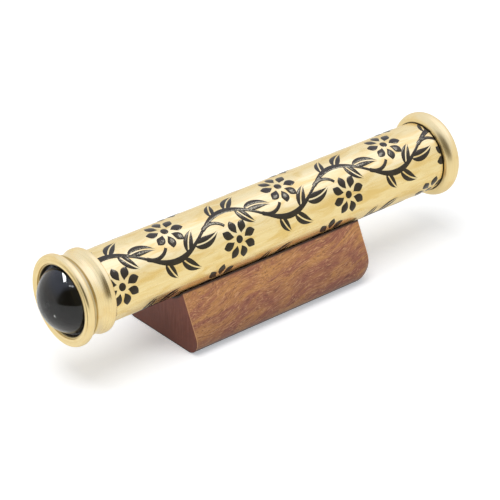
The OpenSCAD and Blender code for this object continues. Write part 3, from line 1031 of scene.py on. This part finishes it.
def cut_ends(bm):
    """Cuts the strokes off at both ends of the tube and closes the cuts."""
    for place, outwards in ((vine_from, -1), (TUBE_BACK - END_EASE, 1)):
        cut = bmesh.ops.bisect_plane(
            bm, geom=bm.verts[:] + bm.edges[:] + bm.faces[:], dist=CUT_WITHIN,
            plane_co=(place, 0, 0), plane_no=(outwards, 0, 0), clear_outer=True,
        )["geom_cut"]
        bmesh.ops.edgeloop_fill(bm, edges=[item for item in cut if isinstance(item, bmesh.types.BMEdge)])


def wrapped(flat):
    """Place on the tube of a point of the flat drawing."""
    angle = VINE_TURN + flat.y / TUBE_R
    radius = TUBE_R + flat.z
    return Vector((flat.x, -radius * math.sin(angle), AXIS_Z + radius * math.cos(angle)))


def black_enamel():
    """Black enamel, a little uneven in the engraved lines, so that it glints."""
    material, tree, shader, place = new_finish("black enamel")
    set_plain(shader, Specular_IOR_Level=0.5, Specular_Tint=ENAMEL_GLINT)
    grain = noise(tree, place, (0.7, 0.7, 0.7), detail=3)
    wear = noise(tree, place, (4, 4, 4), detail=3)
    shade = ranged(tree, wear, 0.4, 0.7, 0, 1)
    coloured(tree, shader, mixed(tree, shade, ENAMEL_DARK, ENAMEL_WORN))
    roughened(tree, shader, grain, 0.12, 0.28)
    bumped(tree, shader, noise(tree, place, (1.9, 1.9, 1.9), detail=2), 0.12)
    return material


bm = bmesh.new()
bm.from_mesh(flat_strokes(vines))
cut_ends(bm)
for vertex in bm.verts:
    vertex.co = wrapped(vertex.co)
inlay = add_piece(bm, "vine_inlay", black_enamel(), "barrel")

# %% [markdown]
# Enamel is glossy, and its uneven strokes catch small cool glints from a window high on the right. A
# brighter sky would do it too, but it would bleach the brass. So a small lamp of a cool colour is linked
# to the enamel alone, like the windows in the ball.

# %% Glints in the enamel
GLINT_COLOUR = (0.80, 0.88, 1.0)

in_glint = bpy.data.collections.new("lit by the glint lamp")
in_glint.objects.link(inlay)
glint = softbox_lamp("glint lamp", (0.67, -0.11, 1.02), (0.36, 0.18), 3.0, in_reflections=True)
glint.data.color = GLINT_COLOUR
glint.light_linking.receiver_collection = in_glint
print("lamps in all:", len(bpy.data.lights))

# %% [markdown]
# The pieces inside the barrel keep their measured shapes and get a finish each. Most are dull black on
# purpose, because stray light would spoil the view, and each kind of black has its own grain: moulded
# rubber, pressed card, woven tape and enamelled plate.

# %% Finishes of the inner pieces
def dull_black(name, grain, depth, smooth, rough, tint=0.016):
    """Dull black with a grain, given as the size of its grains and their depth in millimetres."""
    material, tree, shader, place = new_finish(name)
    grains = noise(tree, place, grain, detail=4)
    shade = ranged(tree, grains, 0.35, 0.65, 0, 1)
    coloured(tree, shader, mixed(tree, shade, (tint, tint, tint), (2.2 * tint, 2.2 * tint, 2.3 * tint)))
    roughened(tree, shader, grains, smooth, rough)
    bumped(tree, shader, grains, depth)
    return material


def grey_felt():
    """Felted wool, mottled and without gloss."""
    material, tree, shader, place = new_finish("grey felt")
    set_plain(shader, Sheen_Weight=0.6, Sheen_Roughness=0.5)
    tufts = noise(tree, place, (0.7, 0.7, 0.7), detail=6)
    shade = ranged(tree, tufts, 0.35, 0.65, 0, 1)
    coloured(tree, shader, mixed(tree, shade, (0.035, 0.035, 0.040), (0.085, 0.085, 0.095)))
    roughened(tree, shader, tufts, 0.85, 1.0)
    bumped(tree, shader, tufts, 0.25)
    return material


def silvered_glass():
    """Front-silvered mirror with a faint haze."""
    material, tree, shader, place = new_finish("silvered glass")
    set_plain(shader, Metallic=1.0)
    haze = noise(tree, place, (11, 7, 7), detail=4)
    coloured(tree, shader, mixed(tree, haze, (0.86, 0.88, 0.90), (0.93, 0.94, 0.95)))
    roughened(tree, shader, haze, 0.015, 0.05, 0.5, 0.8)
    return material


def spring_steel():
    """Bright steel wire, rubbed along its ring."""
    material, tree, shader, place = new_finish("spring steel")
    set_plain(shader, Metallic=1.0)
    rub = noise(tree, place, (0.3, 2, 2), detail=3)
    coloured(tree, shader, mixed(tree, rub, (0.42, 0.43, 0.45), (0.62, 0.63, 0.65)))
    roughened(tree, shader, rub, 0.22, 0.38)
    bumped(tree, shader, rub, 0.004)
    return material


rubber = dull_black("moulded rubber", (1.1, 1.1, 1.1), 0.01, 0.55, 0.75)
mirror = silvered_glass()
felt = grey_felt()
inner_finishes = {
    "ball_cup": rubber,
    "plug_o_ring": rubber,
    "front_mask": dull_black("pressed card", (1.4, 0.6, 0.6), 0.03, 0.75, 0.95),
    "mirror_tape": dull_black("woven tape", (0.4, 1.7, 1.7), 0.03, 0.45, 0.70, 0.022),
    "eye_plate": dull_black("enamelled plate", (0.8, 0.8, 0.8), 0.01, 0.32, 0.48),
    "mirror_lower": mirror,
    "mirror_right": mirror,
    "mirror_left": mirror,
    "front_packing": felt,
    "rear_packing": felt,
    "window_snap_ring": spring_steel(),
    "eye_window": clear_glass("window glass", 0.04),
}
for name, finish in inner_finishes.items():
    for held in frame["nodes"][name].material_slots:
        held.material = finish
print("inner finishes:", len(inner_finishes))
